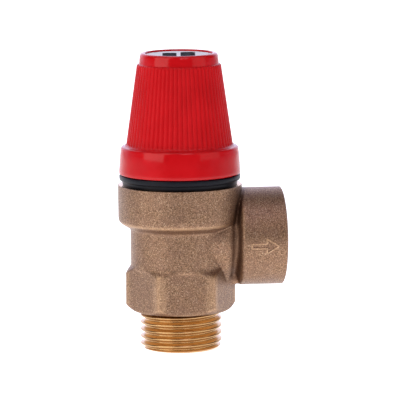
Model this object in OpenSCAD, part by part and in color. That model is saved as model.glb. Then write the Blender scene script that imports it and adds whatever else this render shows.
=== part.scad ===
// Spring-loaded diaphragm relief valve, angle pattern.
// Origin: centre of the inlet spigot's end face. +Z runs up the spindle, +X runs out of the side outlet.

/* [Pipe threads] */
// Outside diameter of the G 1/2 male inlet thread
inlet_od = 20.955; // [20.9:0.005:21.0]
// Root diameter of the G 1/2 thread, also the outlet's minor diameter
thread_minor = 18.631; // [18.6:0.001:18.7]
// Pitch of the G 1/2 thread
thread_pitch = 1.814; // [1.80:0.002:1.82]
// Number of ridges on the inlet spigot
inlet_ridges = 5; // [3:1:5]

/* [Body casting] */
// Width across the flats of the wrench hexagon
hex_af = 25; // [24.6:0.1:25.4]
// Height of the hexagon's lower edge
hex_z0 = 9.9; // [9.8:0.1:10.0]
// Height of the hexagon's upper edge
hex_z1 = 19.6; // [19.0:0.1:19.8]
// Outside diameter of the neck
neck_d = 25.5; // [25.2:0.1:25.8]
// Outside diameter of the collar that holds the bonnet
collar_d = 31.74; // [31.5:0.02:32.0]
// Height of the collar's top rim
collar_top = 42.35; // [42.3:0.05:42.4]
// Diameter of the inlet waterway
inlet_bore = 14; // [13:0.5:14.5]
// Diameter of the seat opening
seat_bore = 12; // [11:0.5:12]
// Height of the seat lip
seat_z = 22.5; // [22.4:0.05:22.5]
// Diameter of the chamber over the seat
chamber_d = 20.8; // [20.4:0.1:21]

/* [Outlet] */
// Height of the outlet's axis
outlet_z = 28.46; // [28.3:0.02:28.6]
// Distance from the spindle axis to the outlet's end face
outlet_reach = 26.36; // [26:0.02:27]
// Outside diameter of the outlet boss
boss_d = 25.08; // [24.8:0.02:25.2]
// Diameter of the passage behind the outlet thread
passage_d = 15; // [13:0.5:15]

/* [Bonnet] */
// Diameter of the bonnet's flange at its top edge
flange_d = 30.2; // [30:0.1:30.4]
// Outside diameter of the spring tower
tower_d = 18.6; // [18.4:0.1:18.7]
// Inside diameter of the spring tower
tower_bore = 15; // [14.8:0.1:15]

/* [Knob] */
// Largest diameter of the knob's skirt
knob_d = 31.2; // [31:0.05:31.4]
// Height of the knob's lower edge
knob_z0 = 45.15; // [45.1:0.05:45.3]
// Number of flutes round the knob's grip
flutes = 64; // [32:2:64]
// Depth of the flutes at the grip's wide end
flute_depth = 0.4; // [0.2:0.05:0.5]
// Diameter of the recess for the label
label_recess_d = 17.2; // [17.1:0.1:17.4]

/* [Movement] */
// Lift of the seal for one radian of knob turn
lift_per_rad = 1.47; // [1.3:0.01:1.5]
// Number of lobes on the cam crown
lobes = 4; // [4:1:4]
// Gap between the two cam faces at rest
cam_gap = 0.1; // [0.05:0.01:0.2]

/* [Spring] */
// Mean diameter of the spring
spring_d = 12.7; // [12.5:0.1:12.8]
// Wire diameter
wire_d = 1.6; // [1.4:0.1:1.6]
// Number of turns, the two closed ends included
turns = 7.5; // [7:0.5:8]

/* [Hidden] */
$fn = 96;

thread_r = inlet_od / 2;
root_r = thread_minor / 2;
collar_r = collar_d / 2;
neck_r = neck_d / 2;
// stack of clamped parts, from the diaphragm's shoulder upwards
shelf_z = 36.0;      // shoulder that the diaphragm's rim rests on
dia_t = 1.6;         // diaphragm thickness
slip_t = 0.8;        // slip ring thickness
bonnet_z0 = shelf_z + dia_t + slip_t;
rim_r = 13.2;        // radius of diaphragm and slip ring
flange_z = 45.0;     // top of the bonnet's flange
spring_z0 = 39.4;    // lower end of the spring
spring_z1 = 61.0;    // upper end of the spring
nut_z0 = 61.8;       // adjusting nut
nut_z1 = 67.0;
crown_z = 68.0;      // foot of the cam ramps
ramp = lift_per_rad * PI / 180;   // rise of a cam ramp for each degree
pitch_deg = 360 / lobes;
hub_z0 = 70.05;      // knob hub's lower face
hub_z1 = 73.05;
recess_z = 75.25;    // floor of the label recess
rim_z = 76.1;        // top of the knob

// Ridges of a thread drawn as rings, as profile points from low to high.
// root, crest: radii; f: half width of the crest's flat; w: half width at the root
function ridges(root, crest, pitch, z0, n, f, w) =
    [for (i = [0 : n - 1]) each [[root, z0 + i * pitch - w], [crest, z0 + i * pitch - f],
                                 [crest, z0 + i * pitch + f], [root, z0 + i * pitch + w]]];

// Points on an arc, for fillets and rounded edges
function arc(cx, cy, r, a0, a1, n) =
    [for (i = [0 : n]) let (a = a0 + (a1 - a0) * i / n) [cx + r * cos(a), cy + r * sin(a)]];

module ring(ri, ro, z0, z1) {
    rotate_extrude() polygon([[ri, z0], [ro, z0], [ro, z1], [ri, z1]]);
}

// Ring of ramps that rise anticlockwise. The flat side is at z_flat; the ramps start at z_ramp.
// Each ramp ends in a steep wall one wall_deg wide. shift turns the whole ring.
module ramp_ring(ri, ro, z_flat, z_ramp, shift, steps) {
    wall_deg = 0.5;
    run = pitch_deg - wall_deg;
    ang = [for (j = [0 : lobes - 1]) each [for (i = [0 : steps]) j * pitch_deg + run * i / steps]];
    zed = [for (j = [0 : lobes - 1]) each [for (i = [0 : steps]) z_ramp + ramp * (shift + run * i / steps)]];
    n = len(ang);
    pts = [for (k = [0 : n - 1]) let (c = cos(ang[k] + shift), s = sin(ang[k] + shift))
           each [[ri * c, ri * s, z_flat], [ro * c, ro * s, z_flat],
                 [ro * c, ro * s, zed[k]], [ri * c, ri * s, zed[k]]]];
    up = zed[0] > z_flat;
    faces = [for (k = [0 : n - 1]) for (e = [0 : 3])
             let (a = 4 * k + e, b = 4 * k + (e + 1) % 4, c = 4 * ((k + 1) % n) + (e + 1) % 4, d = 4 * ((k + 1) % n) + e)
             each (up ? [[a, b, d], [b, c, d]] : [[a, d, b], [b, d, c]])];
    polyhedron(points = pts, faces = faces);
}

module valve_body() {
    color("#93755a")
    difference() {
        union() {
            // spigot, neck and collar
            rotate_extrude() polygon(concat(
                [[0, 0], [9.9, 0]],
                [[thread_r, 0.45], [thread_r, 0.80], [root_r, 1.42]],
                ridges(root_r, thread_r, thread_pitch, 0.625 + thread_pitch, inlet_ridges - 1, 0.175, 0.80),
                [[root_r, 10.2], [11.6, 11.4], [11.6, 20.2], [neck_r, 20.9], [neck_r, 30.75]],
                [[13.05, 31.25], [15.0, 32.42]],
                [[collar_r - 0.3, 33.0], [collar_r, 33.8]],
                [[collar_r, collar_top - 0.15], [collar_r - 0.15, collar_top], [0, collar_top]]));
            // wrench hexagon, with its lower corners turned off and its upper edge sloped to the neck
            intersection() {
                translate([0, 0, hex_z0]) cylinder(r = hex_af / 2 / cos(30), h = hex_z1 + 2.2 - hex_z0, $fn = 6);
                rotate_extrude() polygon([[0, hex_z0], [12.3, hex_z0], [12.5, hex_z0 + 0.15], [14.25, 11.5],
                                          [14.25, hex_z1], [12.3, hex_z1 + 2.2], [0, hex_z1 + 2.2]]);
            }
            // outlet throat and boss
            translate([0, 0, outlet_z]) rotate([0, 90, 0]) rotate_extrude() polygon(concat(
                [[0, 0], [10.7, 0], [10.7, 6.5], [9.7, 13.0], [9.8, 13.8], [10.35, 14.45], [11.7, 14.7]],
                [[boss_d / 2, 15.2], [boss_d / 2, outlet_reach - 0.6], [boss_d / 2 - 0.75, outlet_reach], [0, outlet_reach]]));
            // raised flow arrow on the boss
            flow_arrow();
        }
        // inlet waterway, seat, chamber, diaphragm shelf and bonnet thread
        rotate_extrude() polygon(concat(
            [[0, -1], [inlet_bore / 2 + 0.6, -1], [inlet_bore / 2 + 0.6, 0], [inlet_bore / 2, 0.6],
             [inlet_bore / 2, 17], [seat_bore / 2, 18], [seat_bore / 2, seat_z], [seat_bore / 2 + 0.8, seat_z],
             [seat_bore / 2 + 1.6, seat_z - 1.7], [chamber_d / 2, seat_z - 1.7], [chamber_d / 2, shelf_z],
             [13.35, shelf_z], [13.35, 38.6]],
            [for (i = [0 : 1]) each [[13.35, 38.75 + 1.5 * i], [13.95, 39.1 + 1.5 * i], [13.95, 39.4 + 1.5 * i], [13.35, 39.75 + 1.5 * i]]],
            [[13.35, 41.75], [13.95, collar_top], [13.95, collar_top + 1], [0, collar_top + 1]]));
        // outlet passage and female thread
        translate([0, 0, outlet_z]) rotate([0, 90, 0]) rotate_extrude() polygon(concat(
            [[0, 7.5], [passage_d / 2, 7.5], [passage_d / 2, 15.2], [root_r, 15.9]],
            [for (i = [0 : 3]) let (x = 16.6 + thread_pitch * i)
             each [[root_r, x], [thread_r, x + 0.62], [thread_r, x + 0.80], [root_r, x + 1.42]]],
            [[root_r, 24.7], [10.6, outlet_reach], [10.6, outlet_reach + 1], [0, outlet_reach + 1]]));
    }
}

// Outline arrow that follows the boss's round side
module flow_arrow() {
    intersection() {
        translate([0, 0, outlet_z - 1.1]) rotate([90, 0, 0]) translate([0, 0, 11.6]) linear_extrude(1.6)
            difference() {
                polygon([[16.6, -0.85], [20.6, -0.85], [20.6, -2.1], [24.2, 0], [20.6, 2.1], [20.6, 0.85], [16.6, 0.85]]);
                polygon([[17.1, -0.4], [21.1, -0.4], [21.1, -1.1], [23.1, 0], [21.1, 1.1], [21.1, 0.4], [17.1, 0.4]]);
            }
        translate([15, 0, outlet_z]) rotate([0, 90, 0]) cylinder(r = boss_d / 2 + 0.3, h = 10.5);
    }
}

module bonnet() {
    color("#1d1f24") {
        rotate_extrude() polygon(concat(
            // threaded skirt, flange and tower, outside
            [[10.7, bonnet_z0], [13.25, bonnet_z0]],
            [for (i = [0 : 1]) each [[13.25, 38.8 + 1.5 * i], [13.85, 39.15 + 1.5 * i], [13.85, 39.35 + 1.5 * i], [13.25, 39.7 + 1.5 * i]]],
            [[13.25, collar_top], [14.85, collar_top], [14.9, 43.3], [15.0, 43.5],
             [flange_d / 2, flange_z - 0.2], [flange_d / 2 - 0.2, flange_z],
             [12.6, flange_z], [12.2, flange_z + 1.4], [10.0, flange_z + 2.0], [tower_d / 2, flange_z + 3.0],
             [tower_d / 2, crown_z - 0.4], [tower_d / 2 - 0.1, crown_z - 0.3], [7.95, crown_z - 0.3]],
            // inside: thread for the adjusting nut, spring space, mouth
            [for (i = [3 : -1 : 0]) let (z = 61.5 + 1.5 * i)
             each [[7.95, z + 1.05], [7.95, z + 0.85], [7.45, z + 0.55], [7.45, z + 0.15]]],
            [[7.45, 61.2], [tower_bore / 2, 61.0], [tower_bore / 2, 44.6], [8.5, 43.0], [8.5, 42.2], [10.7, 40.2]]));
        // cam crown
        ramp_ring(8.2, 9.15, crown_z - 1, crown_z, 0, 8);
    }
}

module slip_ring() {
    color("#c9c4b4") ring(10.7, rim_r, shelf_z + dia_t, bonnet_z0);
}

module diaphragm() {
    // flat rim and centre joined by an upward roll
    color("#26282b") rotate_extrude() polygon(concat(
        [[2.55, shelf_z], [8.6, shelf_z]],
        [for (i = [1 : 7]) let (a = 180 * i / 8) [9.6 - 1.0 * cos(a), shelf_z + 0.9 * sin(a)]],
        [[10.6, shelf_z], [rim_r, shelf_z], [rim_r, shelf_z + dia_t], [10.65, shelf_z + dia_t]],
        [for (i = [7 : -1 : 1]) let (a = 180 * i / 8) [9.5 - 1.1 * cos(a), shelf_z + dia_t + 0.75 * sin(a)]],
        [[8.35, shelf_z + dia_t], [2.55, shelf_z + dia_t]]));
}

module disc_holder() {
    color("#b08a4a") difference() {
        rotate_extrude() polygon([[0, 23.2], [8.2, 23.2], [8.4, 23.4], [8.4, 26.8], [8.2, 27.0], [4.2, 27.0],
                                  [4.2, 33.6], [4.8, 34.3], [8.0, 34.3], [8.2, 34.5], [8.2, shelf_z], [0, shelf_z]]);
        translate([0, 0, 22]) cylinder(r = 7.75, h = 3);
        translate([0, 0, 24]) cylinder(r = 1.55, h = 7.2);
        translate([0, 0, 32]) cylinder(r = 2.55, h = 5);
    }
}

module seat_seal() {
    color("#202224") ring(1.75, 7.65, seat_z, 25.0);
}

module seal_washer() {
    color("#b9bcc0") ring(1.65, 4.0, seat_z - 0.8, seat_z);
}

module seal_screw() {
    color("#a9adb2") difference() {
        rotate_extrude() polygon([[0, 20.3], [2.2, 20.3], [2.75, 20.8], [2.75, seat_z - 0.8], [1.5, seat_z - 0.8], [1.5, 30.6], [1.2, 31.0], [0, 31.0]]);
        for (a = [0, 90]) rotate([0, 0, a]) translate([-1.7, -0.35, 20]) cube([3.4, 0.7, 1.0]);
    }
}

module stem() {
    color("#c3a15c") difference() {
        rotate_extrude() polygon([[0, 32.2], [2.1, 32.2], [2.5, 32.6], [2.5, 69.8], [2.3, 70.0], [0, 70.0]]);
        translate([0, 0, 60]) cylinder(r = 1.55, h = 11);
    }
}

module diaphragm_washer() {
    color("#b9bcc0") ring(2.6, 8.2, shelf_z + dia_t, shelf_z + dia_t + 0.8);
}

module stem_lock_washer() {
    color("#8e9297") difference() {
        ring(2.6, 4.4, 38.4, 39.4);
        translate([2.2, -0.4, 38]) cube([3, 0.8, 2]);
    }
}

module stem_nut() {
    color("#b9bcc0") difference() {
        intersection() {
            translate([0, 0, 39.4]) cylinder(r = 8 / 2 / cos(30), h = 3.2, $fn = 6);
            rotate_extrude() polygon([[0, 39.4], [4.1, 39.4], [4.7, 39.8], [4.7, 42.2], [4.1, 42.6], [0, 42.6]]);
        }
        translate([0, 0, 39]) cylinder(r = 2.55, h = 4);
    }
}

module spring_plate() {
    color("#a7abb0") rotate_extrude() polygon([[4.85, 38.4], [7.7, 38.4], [7.9, 38.6], [7.9, 39.2], [7.7, spring_z0],
                                               [5.45, spring_z0], [5.45, 41.3], [5.25, 41.5], [4.85, 41.5]]);
}

// Coil with closed, flattened ends: height of the wire's centre after t turns
function coil_z(t) = let (e = 1.0, lo = spring_z0 + wire_d / 2, hi = spring_z1 - wire_d / 2, c = wire_d + 0.03,
                          live = turns - 2 * e)
    t < e ? lo + c * t * t / (2 * e)
    : t > turns - e ? hi - c * (turns - t) * (turns - t) / (2 * e)
    : lo + c * e / 2 + (hi - lo - c * e) * (t - e) / live;

module spring() {
    seg = 16;
    n = floor(turns * seg);
    sides = 8;
    pts = [for (k = [0 : n]) let (a = 360 * k / seg, z = coil_z(k / seg))
           for (j = [0 : sides - 1]) let (b = 360 * (j + 0.5) / sides, r = spring_d / 2 + wire_d / 2 * cos(b))
           [r * cos(a), r * sin(a), min(max(z + wire_d / 2 * sin(b), spring_z0 + 0.01), spring_z1 - 0.01)]];
    side = [for (k = [0 : n - 1]) for (j = [0 : sides - 1])
            let (a = k * sides + j, b = k * sides + (j + 1) % sides)
            each [[a, a + sides, b], [b, a + sides, b + sides]]];
    color("#9aa0a6") polyhedron(points = pts, faces = concat(side,
        [[for (j = [0 : sides - 1]) j]], [[for (j = [sides - 1 : -1 : 0]) n * sides + j]]));
}

module thrust_washer() {
    color("#b9bcc0") ring(2.75, 7.2, spring_z1, nut_z0);
}

module adjusting_nut() {
    color("#c19a4b") difference() {
        rotate_extrude() polygon(concat(
            [[2.56, nut_z0], [7.3, nut_z0]],
            [for (i = [0 : 2]) let (z = 61.5 + 1.5 * i)
             each [[7.3, z + 0.62], [7.8, z + 0.9], [7.8, z + 1.0], [7.3, z + 1.28]]],
            [[7.3, nut_z1 - 0.3], [7.0, nut_z1], [2.56, nut_z1]]));
        // spanner slots
        for (a = [0, 90]) rotate([0, 0, a]) for (s = [-1, 1])
            translate([s * 6 - 1.7, -1, nut_z1 - 2]) cube([3.4, 2, 3]);
    }
}

// Outline of the fluted grip at its wide end: a round rib and a shallow hollow, repeated
function flute_outline(r, depth) = [for (i = [0 : flutes * 4 - 1])
    let (a = 360 * i / (flutes * 4), q = i % 4, rr = r - depth * (q == 2 ? 1 : q == 0 ? 0 : 0.3)) [rr * cos(a), rr * sin(a)]];

module knob() {
    color("#c4161c") difference() {
        union() {
            // skirt
            rotate_extrude() polygon(concat(
                [[0, knob_z0], [15.4, knob_z0], [knob_d / 2, knob_z0 + 0.3], [15.3, 48.6], [15.1, 51.5]],
                arc(14.5, 51.7, 0.6, 0, 90, 4), [[0, 52.3]]));
            // grip
            translate([0, 0, 52.0]) linear_extrude(height = 20.8, scale = 10.82 / 13.74) polygon(flute_outline(13.74, flute_depth));
            // smooth crown
            rotate_extrude() polygon([[0, 72.5], [10.06, 72.5], [10.06, 73.35], [9.9, 74.5], [9.78, 75.1],
                                      [9.6, 75.55], [9.33, 75.93], [9.05, rim_z], [0, rim_z]]);
        }
        // label recess, counterbore and hub bore
        rotate_extrude() polygon([[0, hub_z0 - 2], [2.56, hub_z0 - 2], [2.56, hub_z1], [4.7, hub_z1], [4.7, recess_z],
                                  [label_recess_d / 2, recess_z], [label_recess_d / 2, rim_z + 1], [0, rim_z + 1]]);
        // space for the tower, round the hub
        rotate_extrude() polygon([[0, knob_z0 - 1], [14.0, knob_z0 - 1], [14.0, 50.4], [13.8, 50.8], [12.4, 50.8], [12.0, 51.4],
                                  [9.7, 67.5], [9.6, 71.5], [6.4, 71.5], [6.0, hub_z0], [0, hub_z0]]);
    }
    // cam ramps inside the crown of the knob
    color("#c4161c") ramp_ring(8.25, 9.1, 71.5, crown_z + cam_gap, 1.5, 8);
}

module knob_washer() {
    color("#b9bcc0") ring(2.56, 4.4, hub_z1 + 0.05, hub_z1 + 0.65);
}

module knob_screw() {
    color("#a9adb2") difference() {
        rotate_extrude() polygon([[0, 61.5], [1.2, 61.5], [1.5, 61.9], [1.5, 70.0], [2.5, 70.0], [2.5, hub_z1 + 0.65],
                                  [3.9, hub_z1 + 0.65], [3.9, 74.5], [3.4, 75.05], [0, 75.05]]);
        for (a = [0, 90]) rotate([0, 0, a]) translate([-2.2, -0.45, 74.1]) cube([4.4, 0.9, 2]);
    }
}

module label_disc() {
    color("#d8dce4") translate([0, 0, recess_z]) cylinder(r = 8.5, h = 0.4);
}

valve_body();
bonnet();
slip_ring();
diaphragm();
disc_holder();
seat_seal();
seal_washer();
seal_screw();
stem();
diaphragm_washer();
stem_lock_washer();
stem_nut();
spring_plate();
spring();
thrust_washer();
adjusting_nut();
knob();
knob_washer();
knob_screw();
label_disc();
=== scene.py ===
import math

import bmesh
import bpy
import numpy as np
from mathutils import Matrix, Vector


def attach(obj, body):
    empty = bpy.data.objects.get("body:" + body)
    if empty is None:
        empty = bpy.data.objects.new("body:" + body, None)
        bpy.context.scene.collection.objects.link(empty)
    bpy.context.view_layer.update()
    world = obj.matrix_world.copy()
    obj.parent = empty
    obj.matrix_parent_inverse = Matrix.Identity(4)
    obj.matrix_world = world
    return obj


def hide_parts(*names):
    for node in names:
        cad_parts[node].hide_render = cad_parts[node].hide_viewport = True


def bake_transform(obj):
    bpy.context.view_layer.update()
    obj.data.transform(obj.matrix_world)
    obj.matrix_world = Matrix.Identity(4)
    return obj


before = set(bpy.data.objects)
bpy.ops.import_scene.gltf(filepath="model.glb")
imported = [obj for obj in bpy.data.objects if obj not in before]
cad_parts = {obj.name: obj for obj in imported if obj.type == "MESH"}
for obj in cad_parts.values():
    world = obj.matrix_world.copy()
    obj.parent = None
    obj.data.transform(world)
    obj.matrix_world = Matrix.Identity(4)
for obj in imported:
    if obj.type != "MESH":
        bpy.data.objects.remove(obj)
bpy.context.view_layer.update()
MM = 0.001
PI = math.pi


# ---------------------------------------------------------------- mesh helpers
def new_object(name, verts_mm, faces, smooth_angle=32.0):
    """Object from points in millimetres."""
    me = bpy.data.meshes.new(name)
    v = np.asarray(verts_mm, dtype=np.float64) * MM
    if isinstance(faces, np.ndarray) and faces.ndim == 2:
        n, k = faces.shape
        me.vertices.add(len(v))
        me.vertices.foreach_set("co", v.astype(np.float32).ravel())
        me.loops.add(n * k)
        me.loops.foreach_set("vertex_index", faces.astype(np.int32).ravel())
        me.polygons.add(n)
        me.polygons.foreach_set("loop_start", np.arange(0, n * k, k, dtype=np.int32))
        me.update(calc_edges=True)
    else:
        me.from_pydata([tuple(p) for p in v], [], [tuple(int(i) for i in f) for f in faces])
        me.update()
    me.validate()
    ob = bpy.data.objects.new(name, me)
    bpy.context.scene.collection.objects.link(ob)
    smooth(ob, smooth_angle)
    return ob


def smooth(ob, angle):
    me = ob.data
    me.polygons.foreach_set("use_smooth", np.ones(len(me.polygons), dtype=bool))
    if angle:
        me.set_sharp_from_angle(angle=math.radians(angle))
    me.update()


def chaikin(pts, rounds=2):
    """Corner cutting of an open chain; its two ends stay."""
    p = [tuple(q) for q in pts]
    for _ in range(rounds):
        out = [p[0]]
        for a, b in zip(p[:-1], p[1:]):
            out.append((0.75 * a[0] + 0.25 * b[0], 0.75 * a[1] + 0.25 * b[1]))
            out.append((0.25 * a[0] + 0.75 * b[0], 0.25 * a[1] + 0.75 * b[1]))
        out.append(p[-1])
        p = out
    return p


def arc(cx, cy, r, a0, a1, n):
    return [(cx + r * math.cos(math.radians(a0 + (a1 - a0) * i / n)),
             cy + r * math.sin(math.radians(a0 + (a1 - a0) * i / n))) for i in range(n + 1)]


def grid_solid(rows, n, closed_profile, along="z", centre=0.0, flip=False):
    """Closed solid of revolution whose rows may change round the axis.
    rows: list of (radius, height), each a number or an array of n values. Where the profile isn't closed,
    the first and last row are shut with a fan to the axis."""
    ang = np.arange(n) * 2 * PI / n
    c, s = np.cos(ang), np.sin(ang)
    pts = []
    for r, h in rows:
        r = np.broadcast_to(np.asarray(r, float), (n,))
        h = np.broadcast_to(np.asarray(h, float), (n,))
        pts.append(np.stack([r * c, r * s, h], 1))
    m = len(rows)
    v = np.concatenate(pts)
    i = np.arange(n)
    j = (i + 1) % n
    faces = []
    for k in range(m if closed_profile else m - 1):
        a, b = k * n, ((k + 1) % m) * n
        faces.append(np.stack([a + i, a + j, b + j, b + i], 1))
    faces = [tuple(f) for f in np.concatenate(faces)]
    if not closed_profile:
        lo, hi = len(v), len(v) + 1
        v = np.concatenate([v, [[0, 0, float(np.mean(rows[0][1]))]], [[0, 0, float(np.mean(rows[-1][1]))]]])
        faces += [(lo, int(q), int(p)) for p, q in zip(i, j)]
        faces += [(hi, int((m - 1) * n + p), int((m - 1) * n + q)) for p, q in zip(i, j)]
    if flip:
        faces = [tuple(reversed(f)) for f in faces]
    if along == "x":      # axis along +X, through z = centre
        v = np.stack([v[:, 2], v[:, 1], centre - v[:, 0]], 1)
    return v, faces


def booleans(ob, steps):
    """Applies union and difference steps, one after another, and keeps the result as the object's mesh."""
    for op, tool in steps:
        mod = ob.modifiers.new("b", "BOOLEAN")
        mod.operation = op
        mod.object = tool
        try:
            mod.solver = "MANIFOLD"
        except TypeError:
            mod.solver = "EXACT"
        bpy.context.view_layer.update()
        dg = bpy.context.evaluated_depsgraph_get()
        me = bpy.data.meshes.new_from_object(ob.evaluated_get(dg))
        ob.modifiers.clear()
        old = ob.data
        ob.data = me
        bpy.data.meshes.remove(old)
        bpy.data.objects.remove(tool)
    return ob


# ---------------------------------------------------------------- distance fields for the casting
def poly_distance(px, py, pts):
    """Signed distance to a closed polygon, negative inside."""
    d = np.full(px.shape, 1e9)
    inside = np.zeros(px.shape, bool)
    n = len(pts)
    for k in range(n):
        ax, ay = pts[k]
        bx, by = pts[(k + 1) % n]
        ex, ey = bx - ax, by - ay
        wx, wy = px - ax, py - ay
        t = np.clip((wx * ex + wy * ey) / (ex * ex + ey * ey + 1e-12), 0, 1)
        d = np.minimum(d, (wx - t * ex) ** 2 + (wy - t * ey) ** 2)
        cross = (ay > py) != (by > py)
        with np.errstate(divide="ignore", invalid="ignore"):
            xi = ax + (py - ay) * ex / (ey if ey else 1e-12)
        inside ^= cross & (px < xi)
    d = np.sqrt(d)
    return np.where(inside, -d, d)


class Table:
    """Distance to a polygon, kept on a fine 2-D grid and read with bilinear steps."""

    def __init__(self, pts, x0, x1, y0, y1, h=0.06, inset=0.0):
        self.x0, self.y0, self.h = x0, y0, h
        self.nx, self.ny = int((x1 - x0) / h) + 2, int((y1 - y0) / h) + 2
        gx, gy = np.meshgrid(x0 + h * np.arange(self.nx), y0 + h * np.arange(self.ny), indexing="ij")
        self.t = poly_distance(gx, gy, pts) - inset

    def __call__(self, x, y):
        u = np.clip((x - self.x0) / self.h, 0, self.nx - 1.001)
        v = np.clip((y - self.y0) / self.h, 0, self.ny - 1.001)
        i, j = u.astype(np.int32), v.astype(np.int32)
        u, v = u - i, v - j
        t = self.t
        return ((t[i, j] * (1 - u) + t[i + 1, j] * u) * (1 - v)
                + (t[i, j + 1] * (1 - u) + t[i + 1, j + 1] * u) * v)


def smin(a, b, k):
    h = np.clip(0.5 + 0.5 * (b - a) / k, 0, 1)
    return b * (1 - h) + a * h - k * h * (1 - h)


def smax(a, b, k):
    return -smin(-a, -b, k)


OUT_Z = 28.46        # height of the outlet's axis
neck_profile = ([(0, 18.5), (11.7, 18.5), (11.7, 20.0)]
                + chaikin([(11.7, 20.0), (12.0, 20.75), (12.77, 20.85), (12.77, 22.0)], 2)[1:]
                + chaikin([(12.77, 29.9), (12.77, 30.75), (13.1, 31.25), (14.3, 31.95), (15.2, 32.5), (15.72, 33.1),
                           (15.87, 34.0), (15.87, 35.4)], 2)
                + [(15.87, 43.4), (0, 43.4)])
hex_envelope = ([(0, 9.9), (12.2, 9.9)]
                + chaikin([(12.2, 9.9), (12.5, 10.0), (13.4, 10.75), (14.3, 11.6), (14.3, 12.4)], 2)[1:]
                + chaikin([(14.3, 19.0), (14.3, 19.65), (12.9, 21.25), (12.0, 22.3)], 2)
                + [(0, 22.3)])
hexagon = [(12.5 / math.cos(PI / 6) * math.cos(PI / 3 * k), 12.5 / math.cos(PI / 6) * math.sin(PI / 3 * k))
           for k in range(6)]
HEX_ROUND = 1.7
hexagon_in = [((12.5 - HEX_ROUND) / math.cos(PI / 6) * math.cos(PI / 3 * k),
               (12.5 - HEX_ROUND) / math.cos(PI / 6) * math.sin(PI / 3 * k)) for k in range(6)]
outlet_profile = ([(0, 0), (10.7, 0)]
                  + chaikin([(10.7, 0), (10.7, 6.5), (10.6, 11.8), (10.1, 12.6), (9.9, 13.3), (10.5, 13.95), (12.05, 14.5), (12.54, 15.1), (12.54, 17.0)], 3)[1:]
                  + [(12.54, 28.2), (0, 28.2)])
T_neck = Table(neck_profile, -0.5, 21, 7, 45)
T_henv = Table(hex_envelope, -0.5, 21, 7, 45)
T_hex = Table(hexagon_in, -17, 29, -17, 17, h=0.1, inset=HEX_ROUND)
T_out = Table(outlet_profile, -0.5, 34, -2, 30)


def cast_distance(p):
    x, y, z = p[..., 0], p[..., 1], p[..., 2]
    r = np.sqrt(x * x + y * y)
    neck = T_neck(r, z)
    hexa = smax(T_hex(x, y), T_henv(r, z), 0.2)
    body = smin(neck, hexa, 0.4)
    rho = np.sqrt(y * y + (z - OUT_Z) ** 2)
    slant = 0.8 * (1 - np.abs(y) / np.maximum(rho, 1e-6)) ** 2 * np.clip((20 - x) / 4.5, 0, 1)
    out = T_out(rho, x - slant)
    web = np.maximum(np.maximum(np.abs(y) - 2.0 - 0.5 * (z - 16.4), 16.95 - z), np.maximum(x - 14.9, z - 24)) - 0.6
    out = smin(out, web, 0.8)
    out = smax(out, 3.0 - x, 0.3)
    return smin(smin(body, out, 0.5), ridge(x, y, z), 1.5)


def ridge(x, y, z):
    """Two soft beads that run from the throat's flanks down to the hexagon's corner."""
    y = np.abs(y)
    pts = [(9.2, 9.7, 24.9, -0.2), (10.6, 7.9, 21.6, 0.05), (11.6, 5.0, 19.0, 0.2), (12.6, 2.1, 17.5, 0.25), (13.6, 1.0, 16.6, 0.1)]
    best = None
    for a, b in zip(pts, pts[1:]):
        a, b = np.array(a), np.array(b)
        u = b[:3] - a[:3]
        t = np.clip(((x - a[0]) * u[0] + (y - a[1]) * u[1] + (z - a[2]) * u[2]) / (u @ u), 0, 1)
        d = np.sqrt((x - a[0] - t * u[0]) ** 2 + (y - a[1] - t * u[1]) ** 2 + (z - a[2] - t * u[2]) ** 2)
        d = d - (a[3] + t * (b[3] - a[3]))
        best = d if best is None else np.minimum(best, d)
    return best


def lattice(seed, shape):
    return np.random.default_rng(seed).uniform(-1, 1, shape)


NOISE = lattice(7, (40, 40, 40))


def value_noise(p, scale):
    """Smooth noise in -1 to 1, one cell every `scale` millimetres."""
    q = p / scale + 19.37
    i = np.floor(q).astype(int)
    f = q - i
    f = f * f * (3 - 2 * f)
    out = 0
    for dx in (0, 1):
        for dy in (0, 1):
            for dz in (0, 1):
                w = (np.where(dx, f[:, 0], 1 - f[:, 0]) * np.where(dy, f[:, 1], 1 - f[:, 1])
                     * np.where(dz, f[:, 2], 1 - f[:, 2]))
                out = out + w * NOISE[(i[:, 0] + dx) % 40, (i[:, 1] + dy) % 40, (i[:, 2] + dz) % 40]
    return out


def gradient(f, p, e=0.03):
    g = np.empty_like(p)
    for a in range(3):
        d = np.zeros(3)
        d[a] = e
        g[:, a] = (f(p + d) - f(p - d)) / (2 * e)
    return g


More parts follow.
